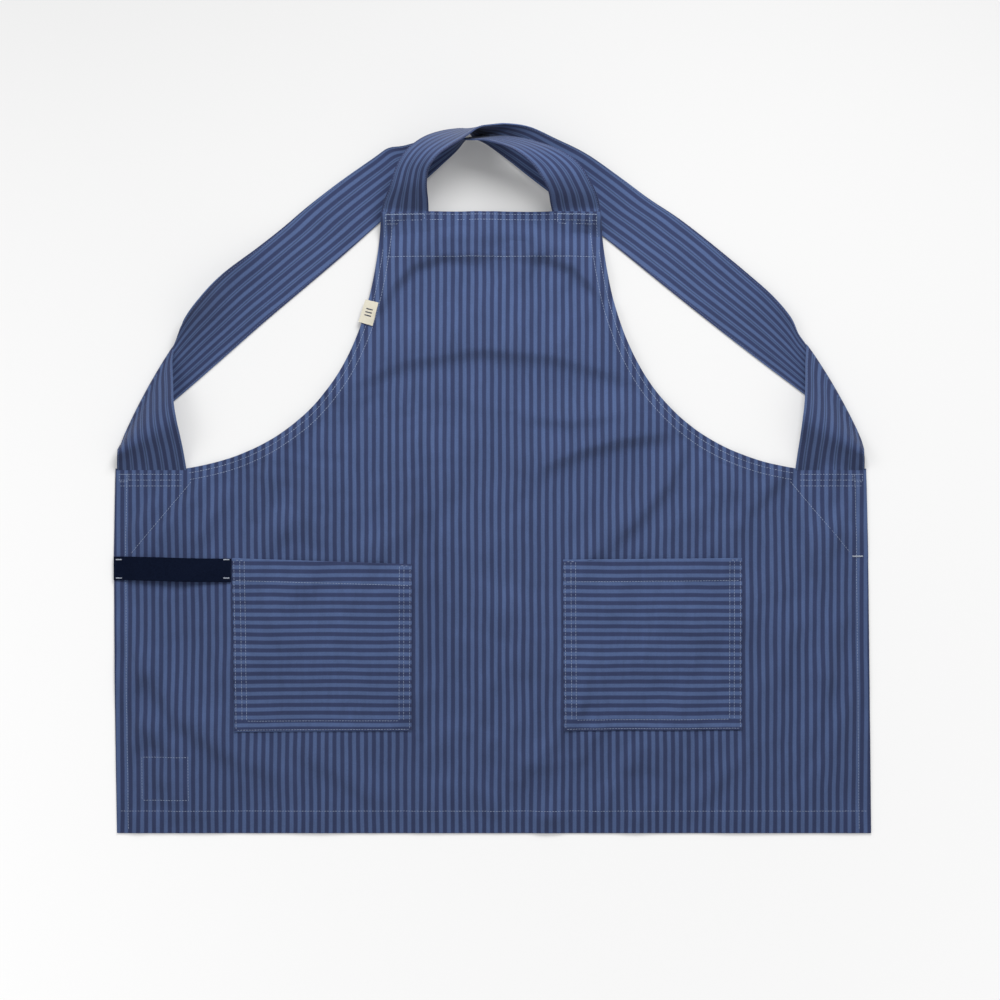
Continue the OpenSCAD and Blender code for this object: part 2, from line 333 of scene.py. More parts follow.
body_denim = denim("body_denim", "X", shift=BODY_SHIFT * MM)
pocket_denim = denim("pocket_denim", "Y", shift=(HEM_Y + POCKET_SHIFT) * MM, shade=1.04)
strap_denim = denim("strap_denim", "X", use_uv=True, quilted=True)
print("denim for", [m.name for m in (body_denim, pocket_denim, strap_denim)])

# %% [markdown]
# ## How the cloth lies
# An apron that has been folded in a drawer and then laid out keeps soft folds: a long arch across
# the bib, a faint crease down the middle, and drags below the armholes. A cloth simulation would
# invent others, so each fold is placed as a line with a height and a width on either side. One
# function adds them up, and every layer of cloth reads it, so pieces that are sewn together rise
# and fall as one.

# %% Fold lines
# Points of each line, x from the middle and y above the hem, then its height,
# the reach of its slope on the left of travel and on the right
FOLDS = [
    ([(-190, 536), (-108, 573), (-10, 588), (75, 580), (188, 546)], 9.0, 70, 13),
    ([(-132, 640), (-120, 662), (-96, 688), (-59, 699), (-5, 697)], 3.4, 32, 9),
    ([(10, 697), (64, 698), (100, 686), (131, 655), (136, 640)], 3.2, 32, 9),
    ([(-110, 700), (-60, 722), (40, 724), (112, 700)], 2.6, 20, 16),
    ([(0, 745), (-2, 400), (2, 10)], 0.7, 4, 3),
    ([(-100, 510), (-97, 424), (-89, 339), (-88, 230), (-90, 120)], 4.4, 9, 34),
    ([(-62, 500), (-66, 420), (-58, 330), (-54, 180)], 2.0, 34, 11),
    ([(-20, 540), (-24, 470), (-18, 400)], 1.2, 14, 9),
    ([(232, 490), (160, 480), (105, 466), (62, 446), (44, 420)], 3.6, 15, 40),
    ([(170, 512), (96, 500), (40, 506)], 2.2, 12, 26),
    ([(238, 478), (212, 424), (176, 382), (138, 346)], 3.0, 12, 28),
    ([(262, 462), (246, 420), (236, 360)], 1.8, 14, 20),
    ([(-228, 494), (-262, 452), (-284, 410), (-292, 372)], 2.8, 24, 11),
    ([(-196, 492), (-222, 450), (-226, 400), (-206, 360)], 1.8, 18, 12),
    ([(-150, 500), (-176, 440), (-182, 370)], 1.6, 22, 14),
    ([(-340, 432), (-376, 392), (-408, 352)], 2.6, 18, 10),
    ([(-312, 424), (-338, 384), (-362, 344)], 2.2, 16, 9),
    ([(-396, 414), (-424, 380), (-446, 350)], 1.8, 14, 8),
    ([(-446, 260), (-418, 200), (-376, 140), (-318, 98), (-240, 66)], 2.4, 30, 16),
    ([(-452, 180), (-420, 130), (-372, 88)], 1.6, 20, 14),
    ([(-250, 110), (-180, 70), (-120, 30)], 1.4, 22, 14),
    ([(-40, 110), (-20, 60), (10, 16)], 1.0, 18, 14),
    ([(288, 440), (326, 380), (350, 300), (352, 220)], 2.0, 20, 12),
    ([(352, 430), (392, 350), (412, 260), (400, 160), (372, 90)], 2.6, 24, 12),
    ([(446, 250), (436, 170), (404, 90), (372, 40)], 2.0, 22, 12),
    ([(316, 110), (270, 60), (236, 24)], 1.6, 12, 20),
    ([(60, 300), (70, 200), (52, 90)], 1.2, 22, 14),
    ([(-166, 520), (-166, 340)], 0.5, 4, 4),
    ([(128, 470), (128, 20)], 0.5, 4, 4),
]


def along_fold(x, y, points):
    """Signed distance from a line of points, and how near its ends, from 0 to 1."""
    best = np.full(x.shape, 1e9)
    signed = np.zeros(x.shape)
    ends = np.zeros(x.shape)
    steps = [math.dist(a, b) for a, b in zip(points, points[1:])]
    total, done = sum(steps), 0.0
    for (ax, ay), (bx, by), step in zip(points, points[1:], steps):
        dx, dy = (bx - ax) / step, (by - ay) / step
        t = np.clip((x - ax) * dx + (y - ay) * dy, 0, step)
        px, py = x - ax - t * dx, y - ay - t * dy
        distance = np.hypot(px, py)
        side = np.where(dx * (y - ay) - dy * (x - ax) >= 0, 1.0, -1.0)
        nearer = distance < best
        best = np.where(nearer, distance, best)
        signed = np.where(nearer, distance * side, signed)
        ends = np.where(nearer, (done + t) / total, ends)
        done += step
    return signed, ends


def smoothstep(t):
    t = np.clip(t, 0, 1)
    return t * t * (3 - 2 * t)


def crossed_waves(seed, count, shortest, longest, height):
    """A bundle of waves in many directions, which together never repeat."""
    pick = np.random.default_rng(seed)
    lengths = pick.uniform(shortest, longest, count)
    turns = pick.normal(0, math.radians(55), count)
    k = 2 * math.pi / lengths
    return [(kx, ky, phase, height) for kx, ky, phase in
            zip(k * np.cos(turns), k * np.sin(turns), pick.uniform(0, 6.28, count))]


WAVES = [*crossed_waves(3, 10, 110, 200, 0.42), *crossed_waves(5, 12, 48, 90, 0.30),
         *crossed_waves(8, 14, 20, 40, 0.10)]
RELIEF = 3.0


def ripples(x, y):
    """Small uneven rise and fall that is nowhere straight."""
    bend_x, bend_y = x + 10 * np.sin(y / 41), y + 10 * np.sin(x / 37)
    total = sum(h * np.sin(kx * bend_x + ky * bend_y + p) for kx, ky, p, h in WAVES)
    calm = 0.6 + 0.4 * np.sin(x / 95 + 0.6) * np.sin(y / 120 + 1.0)
    return np.logaddexp(0, 2.6 + 2.9 * total * calm) * 0.8


def over_strap(x, y):
    """The bib's top is pulled up by the straps, and its corners lie on the straps beneath."""
    inside = (np.abs(x) - 102) + (y - BODY_L) * 1.24
    under = 1.9 * smoothstep((inside + 16) / 18) * smoothstep((y - 690) / 30)
    pulled = 3.0 + 12 * smoothstep((np.abs(x) - 40) / 50)
    return under + pulled * smoothstep((y - 712) / 37) ** 1.5


def lie(x, y):
    """Height of the lowest layer of cloth above the floor."""
    x, y = np.asarray(x, float), np.asarray(y, float)
    z = ripples(x, y)
    for points, height, left, right in FOLDS:
        signed, ends = along_fold(x, y, points)
        reach = 0.85 * np.where(signed > 0, left, right)
        taper = np.sqrt(np.clip(np.sin(np.pi * np.clip(ends, 0.02, 0.98)), 0, 1))
        high = height if height > 8 or height < 1 else height * RELIEF
        z = z + high * taper * np.exp(-(signed / reach) ** 2)
    pressed = smoothstep(np.minimum.reduce([(HALF_W - np.abs(x)) / 30, y / 30,
                                            np.ones(x.shape)])) * 0.75 + 0.25
    return z * pressed + over_strap(x, y)


bib_x, bib_y = np.meshgrid(np.arange(-130, 130, 5.0), np.arange(450, 740, 5.0))
print(f"folds up to {float(lie(bib_x, bib_y).max()):.1f} mm")

# %% [markdown]
# ## Sheets of cloth
# Each piece starts as a net of points across its outline, is raised by the fold function, and is
# given its thickness. A net made in code keeps the rows in line with the threads, which a filled
# outline would not. The edges of the apron are turned under and sewn, so a separate narrow strip
# with a round outer edge closes each side, the way the hem and the facings do on the real thing.

# %% Mesh helpers
def at(x, y, z):
    """A point in metres from millimetres across, above the hem and above the floor."""
    return (x * MM, (HEM_Y + y) * MM, z * MM)


def settle(x, y):
    """The apron isn't laid quite square: its sides and the top of the bib stray a little."""
    right = np.interp(y, [0, 337, 441, 475], [2.8, -0.8, -3.2, 0])
    left = np.interp(y, [0, 150, 337, 441, 475], [4.5, 2.2, 0.8, 2.8, 0])
    drift = np.where(x > 0, right, left) * np.clip(np.abs(x) / HALF_W, 0, 1) ** 2
    crown = 2.4 * np.cos(np.clip(np.abs(x) / HALF_BIB, 0, 2) * math.pi / 2)
    near_bib = smoothstep((y - 660) / 80) * smoothstep((790 - y) / 35)
    return x + drift, y + np.clip(crown, 0, 3) * near_bib


def points_of(x, y, z):
    x, y = settle(np.ravel(x).astype(float), np.ravel(y).astype(float))
    return np.stack([x * MM, (HEM_Y + y) * MM, np.ravel(z) * MM], 1)


def net_faces(rows, cols, closed=False, start=0):
    """Quads of a grid whose points are counted row by row."""
    wrap = cols if closed else cols - 1
    return [(start + r * cols + c, start + r * cols + (c + 1) % cols,
             start + (r + 1) * cols + (c + 1) % cols, start + (r + 1) * cols + c)
            for r in range(rows - 1) for c in range(wrap)]


def new_piece(name, points, faces, material):
    mesh = bpy.data.meshes.new(name)
    mesh.from_pydata([tuple(p) for p in points], [], faces)
    mesh.validate()
    mesh.update()
    piece = bpy.data.objects.new(name, mesh)
    bpy.context.scene.collection.objects.link(piece)
    mesh.materials.append(material)
    return piece


def only(*pieces):
    """Selects these pieces and no others, the first one active."""
    bpy.ops.object.select_all(action="DESELECT")
    for piece in pieces:
        piece.select_set(True)
    bpy.context.view_layer.objects.active = pieces[0]


def finish_mesh(piece, thickness=None, offset=-1.0, merge=0.00002, angle=40):
    """Merges doubled points, turns every face outwards, and gives a sheet its thickness."""
    only(piece)
    bpy.ops.object.mode_set(mode="EDIT")
    bpy.ops.mesh.select_all(action="SELECT")
    bpy.ops.mesh.remove_doubles(threshold=merge)
    if thickness is None:
        bpy.ops.mesh.normals_make_consistent(inside=False)
    bpy.ops.object.mode_set(mode="OBJECT")
    if thickness is not None:
        solid = piece.modifiers.new("thickness", "SOLIDIFY")
        solid.thickness = thickness * MM
        solid.offset = offset
        bpy.ops.object.modifier_apply(modifier=solid.name)
    bpy.ops.object.shade_smooth_by_angle(angle=math.radians(angle))
    return piece


def one_long(vectors):
    """The same directions, each of length one."""
    return vectors / np.linalg.norm(vectors, axis=-1, keepdims=True)


def run_along(points):
    """The distance from the first point of a line to each one."""
    steps = np.linalg.norm(np.diff(points, axis=0), axis=1)
    return np.concatenate([[0], np.cumsum(steps)])


def square_net(across, up=None):
    """Shares from 0 to 1 over a sheet, as across columns by up rows."""
    return np.meshgrid(np.linspace(0, 1, across), np.linspace(0, 1, up or across))


def between(corners, u, v):
    """The place at share u across and v up, between four corners given in turn."""
    a, b, c, d = [np.array(p, float) for p in corners]
    u, v = np.asarray(u)[..., None], np.asarray(v)[..., None]
    return (a * (1 - u) + b * u) * (1 - v) + (d * (1 - u) + c * u) * v


print("mesh helpers are ready")

# %% Armhole curve
ARM = np.array([[HALF_BIB, BODY_L], [140, 640], [170, 470], [SHOULDER_X, SHOULDER_Y]], float)


def armhole(t, inset=0.0):
    """Points on the right armhole edge, from the bib corner to the shoulder, moved inwards."""
    t = np.asarray(t, float)[..., None]
    p = ((1 - t) ** 3 * ARM[0] + 3 * (1 - t) ** 2 * t * ARM[1]
         + 3 * (1 - t) * t ** 2 * ARM[2] + t ** 3 * ARM[3])
    d = ((1 - t) ** 2 * (ARM[1] - ARM[0]) + 2 * (1 - t) * t * (ARM[2] - ARM[1])
         + t ** 2 * (ARM[3] - ARM[2]))
    d = d / np.linalg.norm(d, axis=-1, keepdims=True)
    return p + inset * np.stack([d[..., 1], -d[..., 0]], -1)


arm_points = armhole(np.linspace(0, 1, 60))
print(f"armhole edge {run_along(arm_points)[-1]:.0f} mm long")

# %% Body panel
RIM = 1.2
HEM_L, SIDE_HEM, ARM_FACING, BIB_FACING = 27.0, 14.5, 18.0, 53.0
NET = 4.6
SOFT = 3.0
PATCH_LEAN, PATCH_EDGE = 1.137, 837
LABEL_MID, LABEL_REACH = (-396.5, 65.5), (30, 27)
BACK_LABEL = [(-425, 40), (-368, 40), (-368, 92), (-425, 92)]


def layers_under(x, y):
    """How far the panel is lifted by the hems, facings and patches below it."""
    x_out = np.abs(x)
    near = np.abs(along_fold(x_out, y, arm_points)[0])
    label = np.minimum(LABEL_REACH[0] - np.abs(x - LABEL_MID[0]),
                       LABEL_REACH[1] - np.abs(y - LABEL_MID[1]))
    steps = [HEM_L - y, x_out - HALF_W + SIDE_HEM, ARM_FACING - near, y - BODY_L + BIB_FACING,
             x_out * PATCH_LEAN + y - PATCH_EDGE, label]
    return CLOTH * smoothstep(np.maximum.reduce(steps) / SOFT + 0.5)


def panel_net():
    """Rows of points that fit the outline: straight sides below, armholes above."""
    inner = np.linspace(-SHOULDER_X, SHOULDER_X, int(2 * SHOULDER_X / NET))
    wing = np.linspace(SHOULDER_X, HALF_W - RIM, 19)[1:]
    wide = np.concatenate([-wing[::-1], inner, wing])
    low_rows = np.linspace(RIM, SHOULDER_Y - RIM, int(SHOULDER_Y / NET))
    x, y = np.meshgrid(wide, low_rows)
    faces = net_faces(len(low_rows), len(wide))
    first_top = (len(low_rows) - 1) * len(wide) + len(wing)
    turns = np.linspace(1, 0, 96)
    edge = armhole(turns, RIM)
    edge[:, 1] = np.clip(edge[:, 1], 0, BODY_L - RIM)
    edge[0] = (SHOULDER_X, SHOULDER_Y - RIM)
    share = inner / SHOULDER_X
    x_top, y_top = share[None] * edge[1:, :1], np.repeat(edge[1:, 1:], len(inner), 1)
    start = x.size
    cols = len(inner)
    faces += [(first_top + c, first_top + c + 1, start + c + 1, start + c) for c in range(cols - 1)]
    faces += net_faces(len(edge) - 1, cols, start=start)
    return np.append(x, x_top), np.append(y, y_top), faces


net_x, net_y, faces = panel_net()
top = lie(net_x, net_y) + CLOTH + layers_under(net_x, net_y)
body = new_piece("apron_body", points_of(net_x, net_y, top), faces, body_denim)
finish_mesh(body, thickness=CLOTH)
print(f"body net {len(net_x)} points")

# %% [markdown]
# ## Turned edges
# A hem is one edge of the panel folded under and sewn. A facing is a strip that is sewn on face to
# face, then turned to the back. Both leave a round outer edge and a second layer beneath. One
# function sweeps that outline, a flat tongue with a round nose, along a row of points.

# %% Edge strips
def edge_outline(width):
    """The section of a turned edge: distance in from the edge, and height."""
    nose = [(CLOTH - CLOTH * math.sin(a), CLOTH - CLOTH * math.cos(a))
            for a in np.linspace(0, math.pi, 9)]
    return [(width, 0.05), (width * 0.5, 0.0), *nose, (RIM + 0.1, 2 * CLOTH), (RIM + 0.1, CLOTH),
            (width * 0.5, CLOTH - 0.02), (width, CLOTH - 0.05)]


def turned_edge(name, path, inward, width, material, base=lie):
    """Sweeps the section along path. inward is the unit direction in, one for all or for each."""
    section = np.array(edge_outline(width))
    inward = np.broadcast_to(inward, (len(path), 2))
    places = np.array(path, float)[:, None] + inward[:, None] * section[:, :1]
    x, y = np.moveaxis(places, -1, 0)
    points = points_of(x, y, base(x, y) + section[:, 1])
    rows, cols = x.shape
    faces = net_faces(rows, cols, closed=True)
    faces += [tuple(range(cols)), tuple(range((rows - 1) * cols, rows * cols))[::-1]]
    return finish_mesh(new_piece(name, points, faces, material))


def straight(start, end, step=6.0):
    count = max(2, int(math.dist(start, end) / step))
    return [tuple(p) for p in np.linspace(start, end, count)]


def join(name, pieces):
    only(*pieces)
    bpy.ops.object.join()
    pieces[0].name = name
    return pieces[0]


def side_strip(side):
    path = straight((side * HALF_W, 0.4), (side * HALF_W, SHOULDER_Y))
    return turned_edge("side_hem", path, (-side, 0), SIDE_HEM, body_denim)


hem_path = straight((-HALF_W + RIM, 0), (HALF_W - RIM, 0))
bottom_hem = turned_edge("bottom_hem", hem_path, (0, 1), HEM_L, body_denim)
body = join("apron_body", [body, bottom_hem, side_strip(-1), side_strip(1)])
print(f"apron body with hems, {len(body.data.polygons)} faces")

# %% Facings behind the bib and the armholes
bib_path = straight((-HALF_BIB, BODY_L), (HALF_BIB, BODY_L))
bib_facing = turned_edge("bib_facing_cloth", bib_path, (0, -1), BIB_FACING, body_denim)


def arm_facing(side):
    turns = np.linspace(0.0, 1, 70)
    outer, inner = armhole(turns), armhole(turns, 1.0)
    path = [(side * x, y) for x, y in outer]
    inward = [(side * (a[0] - b[0]), a[1] - b[1]) for a, b in zip(inner, outer)]
    return turned_edge(f"{SIDE_NAMES[side]}_armhole_binding", path, inward, ARM_FACING, body_denim)


arm_facings = [arm_facing(-1), arm_facing(1)]
print("facings:", bib_facing.name, *[facing.name for facing in arm_facings])

# %% Patches sewn to the back
def back_patch(name, corners, material, thickness):
    """A flat four-cornered patch against the back of the panel."""
    x, y = np.moveaxis(between(corners, *square_net(14)), -1, 0)
    piece = new_piece(name, points_of(x, y, lie(x, y) + thickness), net_faces(14, 14), material)
    return finish_mesh(piece, thickness=thickness - 0.02)


def corner_patch(side):
    corners = [(side * 372, 417), (side * 442, 335), (side * 442, 440), (side * 372, 422)]
    name = f"{SIDE_NAMES[side]}_corner_patch_cloth"
    return back_patch(name, corners if side > 0 else corners[::-1], body_denim, CLOTH)


corner_patches = [corner_patch(-1), corner_patch(1)]
print("patches:", *[patch.name for patch in corner_patches])

# %% [markdown]
# ## Patch pockets
# Two pockets are cut with the stripes lying across, pressed round their edges and sewn on three
# sides. Pressing makes the rims two layers thick, and the open mouth stands a few millimetres off
# the apron. Each is a net between its four corners, so the stripes keep to the cloth.

# %% Pockets
POCKETS = {
    "left": [(-310.9, 122.7), (-96.0, 124.0), (-95.1, 325.7), (-313.6, 332.8)],
    "right": [(88.0, 124.0), (303.0, 125.0), (304.0, 333.0), (87.0, 331.0)],
}
MOUTH_HEM, POCKET_RIM, POCKET_BULGE = 27.0, 10.0, 3.2
POCKET_NET = 52


def pocket_size(corners):
    return corners[1][0] - corners[0][0], corners[3][1] - corners[0][1]


def pocket_share(corners, x, y):
    """How far across and up the pocket a point lies, each from 0 to 1."""
    (x0, y0), (x1, y1), (x2, y2), (x3, y3) = corners
    v = np.clip((y - (y0 + y1) / 2) / ((y2 + y3) / 2 - (y0 + y1) / 2), 0, 1)
    for _ in range(3):
        left, right = x0 + (x3 - x0) * v, x1 + (x2 - x1) * v
        u = np.clip((x - left) / (right - left), 0, 1)
        low, high = y0 + (y1 - y0) * u, y3 + (y2 - y3) * u
        v = np.clip((y - low) / (high - low), 0, 1)
    return u, v


def pocket_lie(corners):
    def height(x, y):
        u, v = pocket_share(corners, x, y)
        belly = POCKET_BULGE * smoothstep(np.minimum(u, 1 - u) / 0.3) * smoothstep(v / 0.9)
        crumple = 0.35 * np.sin(x / 21 + y / 34) * np.sin(y / 27 - x / 45)
        ease = smoothstep(np.minimum(u, 1 - u) / 0.12) * smoothstep(v / 0.12)
        return lie(x, y) + CLOTH + 0.05 + belly + (crumple + 0.35) * ease
    return height


def pocket_top(corners):
    """Height of the pocket's upper face, which its pressed rims lift by one more layer."""
    under = pocket_lie(corners)

    def height(x, y):
        u, v = pocket_share(corners, x, y)
        wide, tall = pocket_size(corners)
        rims = [POCKET_RIM - np.minimum(u, 1 - u) * wide, POCKET_RIM - v * tall,
                MOUTH_HEM - (1 - v) * tall]
        return under(x, y) + CLOTH + CLOTH * smoothstep(np.maximum.reduce(rims) / SOFT + 0.5)
    return height


def set_uv(piece, uv):
    """Gives each point a place on the flat cloth, in metres."""
    mesh = piece.data
    layer = mesh.uv_layers.new(name="cloth")
    owner = np.empty(len(mesh.loops), int)
    mesh.loops.foreach_get("vertex_index", owner)
    layer.data.foreach_set("uv", np.asarray(uv, np.float32)[owner].ravel())


def make_pocket(side):
    corners = POCKETS[side]
    a, b, c, d = [np.array(p, float) for p in corners]
    inset = np.array(corners, float) + RIM * np.array([(1, 1), (-1, 1), (-1, -1), (1, -1)])
    x, y = np.moveaxis(between(inset, *square_net(POCKET_NET)), -1, 0)
    top = pocket_top(corners)(x, y)
    sheet = new_piece(f"{side}_pocket_cloth", points_of(x, y, top),
                      net_faces(POCKET_NET, POCKET_NET), pocket_denim)
    finish_mesh(sheet, thickness=CLOTH)
    under = pocket_lie(corners)
    strips = []
    for k, (start, end, width) in enumerate([(a, b, POCKET_RIM), (b, c, POCKET_RIM),
                                             (c, d, MOUTH_HEM), (d, a, POCKET_RIM)]):
        direction = one_long(end - start)
        short = direction * (RIM if k % 2 == 0 else 0.0)
        strips.append(turned_edge(f"{side}_rim_{k}", straight(start + short, end - short, 4.0),
                                  (-direction[1], direction[0]), width, pocket_denim, base=under))
    return join(f"{side}_pocket_cloth", [sheet, *strips])


pockets = {side: make_pocket(side) for side in POCKETS}
print({side: len(p.data.polygons) for side, p in pockets.items()})

# %% [markdown]
# ## Towel loop and label
# The loop is a length of dark herringbone webbing, tacked down at both ends so that a towel can
# hang from it. It is rigid enough to start as a box that is cut into strips and bowed upwards. The
# little label is a folded tape caught in the armhole seam.

# %% Webbing and label materials
def webbing_material():
    name, colour = "herringbone_webbing", (0.004, 0.007, 0.018)
    material, tree, shader, where = new_material(name, colour, 1.0)
    axes = axes_of(tree, where)
    fold = maths(tree, "PINGPONG", axes["Y"], 3.6 * MM)
    slope = plus(tree, axes["X"], fold)
    rows = maths(tree, "SINE", times(tree, slope, 2 * math.pi / (1.5 * MM)))
    grain = noise(tree, where, 500.0, 3.0)
    weave = plus(tree, times(tree, rows, 0.3), grain)
    tint = blend_colours(tree, weave, (0.002, 0.0035, 0.011, 1), (0.006, 0.010, 0.026, 1))
    tree.links.new(tint, shader.inputs["Base Color"])
    bump(tree, weave, 0.5, 0.4 * MM)
    shader.inputs["Specular IOR Level"].default_value = 0.03
    return material


def label_material(name, mark):
    """Cream cotton tape. Where mark is true, three short bars are woven into it."""
    material, tree, shader, where = new_material(name, (0.72, 0.68, 0.57), 0.85)
    grain = noise(tree, where, 900.0, 2.0)
    colour = blend_colours(tree, grain, (0.50, 0.47, 0.38, 1), (0.62, 0.59, 0.49, 1))
    if mark:
        axes = axes_of(tree, where.node.outputs["UV"])
        across = maths(tree, "ABSOLUTE", axes["X"])
        up = maths(tree, "ABSOLUTE", axes["Y"])
        inside = maths(tree, "LESS_THAN", across, 4.2 * MM)
        gap = maths(tree, "PINGPONG", axes["Y"], 2.0 * MM)
        near = maths(tree, "LESS_THAN", gap, 0.75 * MM)
        bar = times(tree, near, maths(tree, "LESS_THAN", up, 5.5 * MM))
        both = times(tree, inside, bar)
        colour = blend_colours(tree, both, colour, (0.02, 0.026, 0.05, 1))
    tree.links.new(colour, shader.inputs["Base Color"])
    bump(tree, grain, 0.3, 0.2 * MM)
    return material


def thread_material(name, colour):
    material, tree, shader, where = new_material(name, colour, 0.7)
    grain = noise(tree, where, 700.0, 1.0)
    dim = tuple(0.7 * c for c in colour)
    tint = blend_colours(tree, grain, (*dim, 1), (*colour, 1))
    tree.links.new(tint, shader.inputs["Base Color"])
    return material


webbing = webbing_material()
label_tape = label_material("label_tape", True)
plain_tape = label_material("plain_tape", False)
pale_thread = thread_material("pale_thread", (0.31, 0.38, 0.53))
blue_thread = thread_material("blue_thread", (0.10, 0.14, 0.27))
white_thread = thread_material("white_thread", (0.40, 0.44, 0.52))
print(len(bpy.data.materials), "materials")

# %% Towel loop
LOOP_X, LOOP_Y = (-456.0, -314.0), (305.0, 333.5)
LOOP_T, LOOP_BOW = 1.6, 5.0


def loop_height(x):
    """The band's underside: flat at both tacked ends, bowed between."""
    share = np.clip((x - LOOP_X[0] - 9) / (LOOP_X[1] - LOOP_X[0] - 18), 0, 1)
    return 2.5 + LOOP_BOW * np.sin(math.pi * share) ** 1.4


bpy.ops.object.select_all(action="DESELECT")
bpy.ops.mesh.primitive_grid_add(x_subdivisions=40, y_subdivisions=8, size=1)
loop = bpy.context.object
loop.name = "towel_loop_band"
mid_x, mid_y = sum(LOOP_X) / 2, sum(LOOP_Y) / 2
for vertex in loop.data.vertices:
    x = mid_x + vertex.co.x * (LOOP_X[1] - LOOP_X[0])
    y = mid_y + vertex.co.y * (LOOP_Y[1] - LOOP_Y[0]) - 1.2 * math.sin((x - mid_x) / 40)
    vertex.co = at(x, y, float(lie(x, y)) + float(loop_height(x)) + LOOP_T)
loop.data.materials.append(webbing)
finish_mesh(loop, thickness=LOOP_T)


def soften(piece, width, segments=2):
    only(piece)
    bevel = piece.modifiers.new("rounding", "BEVEL")
    bevel.width = width * MM
    bevel.segments = segments
    bevel.limit_method = "ANGLE"
    bevel.angle_limit = math.radians(50)
    bpy.ops.object.modifier_apply(modifier=bevel.name)
    bpy.ops.object.shade_smooth_by_angle(angle=math.radians(50))


soften(loop, 0.5)
print(f"towel loop {LOOP_X[1] - LOOP_X[0]:.0f} x {LOOP_Y[1] - LOOP_Y[0]:.1f} mm")

# %% Label in the armhole seam
LABEL = [(-143, 613), (-135.5, 641), (-151.5, 645), (-160, 618)]
LABEL_T = 0.6


def make_label():
    u, out = square_net(12, 8)
    x, y = np.moveaxis(between(LABEL, u, out), -1, 0)
    z = lie(x, y) + 2 * CLOTH + 0.15 + LABEL_T + 0.5 * (1 - out) ** 2
    piece = new_piece("edge_label_tape", points_of(x, y, z), net_faces(8, 12), label_tape)
    wide, deep = math.dist(LABEL[0], LABEL[1]) * MM, math.dist(LABEL[0], LABEL[3]) * MM
    set_uv(piece, np.stack([(out.ravel() - 0.5) * deep, (u.ravel() - 0.5) * wide], 1))
    finish_mesh(piece, thickness=LABEL_T, offset=1.0)
    soften(piece, 0.2)
    return piece


edge_label = make_label()
back_label = back_patch("back_label_cloth", BACK_LABEL, plain_tape, 0.4)
print("labels:", edge_label.name, back_label.name)

# %% [markdown]
# ## Crossback straps
# Each strap is one long band. It rises from a bib corner on its outer edge, arches over the neck,
# crosses its fellow, turns its back upwards, runs out to the side, and folds over onto itself to
# meet the body. Its shape is two edges in space with the cloth between them. The outer edge keeps
# to the table and the neck edge swings high, so the band leans and twists as real cloth does.

# %% Strap routes
# Each station: the outer edge, then the neck edge; x, y above the hem, and z
LEFT_ROUTE = [
    (-132, 749, 1.4, -75, 749, 1.4), (-129, 760, 20, -75, 760, 24), (-121, 777, 38, -76, 777, 48),
    (-113, 799, 48, -74, 793, 64), (-103, 816, 50, -68, 802, 74), (-91, 828, 46, -59, 811, 80),
    (-75, 839, 36, -46, 820, 82), (-52, 848, 18, -31, 830, 79), (-30, 851, 3, -14, 843, 71),
    (-21, 841, 1.6, 2, 848, 58), (-6, 834, 1.2, 20, 851, 46), (20, 815, 0.9, 47, 849, 33),
    (45, 795, 0.9, 78, 837, 21), (70, 775, 0.9, 116, 820, 10), (95, 755, 0.9, 156, 793, 4),
    (120, 734, 0.9, 190, 768, 2), (144, 715, 0.9, 222, 747, 1.6), (175, 690, 0.9, 245, 730, 1.8),
    (207, 664, 0.9, 270, 710, 3), (252, 628, 0.9, 307, 679, 6), (298, 592, 0.9, 339, 650, 10),
    (340, 560, 0.9, 361, 624, 11), (385, 526, 0.9, 371, 604, 8), (447, 475, 0.9, 380, 591, 3),
]
LEFT_LEAF = [
    (447, 474, 8.0, 381, 590, 7.6), (449, 468, 10, 379, 570, 13), (450, 464, 13, 378, 545, 20),
    (450, 461, 16, 376, 520, 29), (451, 457, 16, 373, 499, 32), (453, 450, 10, 371, 472, 18),
    (455, 439.4, 1.6, 370, 439.4, 1.6),
]
RIGHT_ROUTE = [
    (132, 749, 1.4, 74, 749, 1.4), (130, 759, 20, 71, 759, 23), (126, 770, 33, 69, 768, 40),
    (118, 785, 43, 65, 777, 52), (109, 799, 48, 60, 785, 60), (95, 812, 48, 52, 796, 67),
    (79, 821, 46, 40, 807, 74), (62, 828, 41, 26, 816, 78), (41, 834, 39, 12, 822, 75),
    (19, 838, 34, -4, 827, 73), (0, 840, 23, -16, 829, 67), (-18, 841, 9, -28, 830, 60),
    (-30, 839, 3, -40, 833, 50), (-42, 825, 1.8, -58, 836, 36), (-60, 808, 1.2, -82, 834, 24),
    (-75, 794, 1, -106, 829, 16), (-88, 782, 0.9, -124, 827, 12), (-102, 769, 0.9, -141, 816, 9),
    (-123, 749, 0.9, -183, 787, 6), (-144, 730, 0.9, -222, 757, 5), (-180, 698, 0.9, -250, 733, 6),
    (-220, 664, 0.9, -282, 706, 15), (-271, 621, 0.9, -320, 675, 28),
    (-321, 577, 0.9, -345, 648, 36), (-382, 524, 0.9, -368, 619, 27), (-446, 472, 0.9, -380, 592, 6),
]
RIGHT_LEAF = [
    (-446, 471, 8.0, -381, 591, 9.0), (-448, 467, 9.5, -384, 572, 13),
    (-450, 464, 13, -382, 547, 22), (-450, 461, 17, -380, 521, 31),
    (-451, 457, 17, -376, 499, 34), (-453, 450, 10, -372, 472, 19),
    (-455, 439.4, 1.6, -370, 439.4, 1.6),
]
ACROSS = 16
BIB_END, SIDE_END = 58, 86
print(len(LEFT_ROUTE), "and", len(RIGHT_ROUTE), "stations up to the side folds")


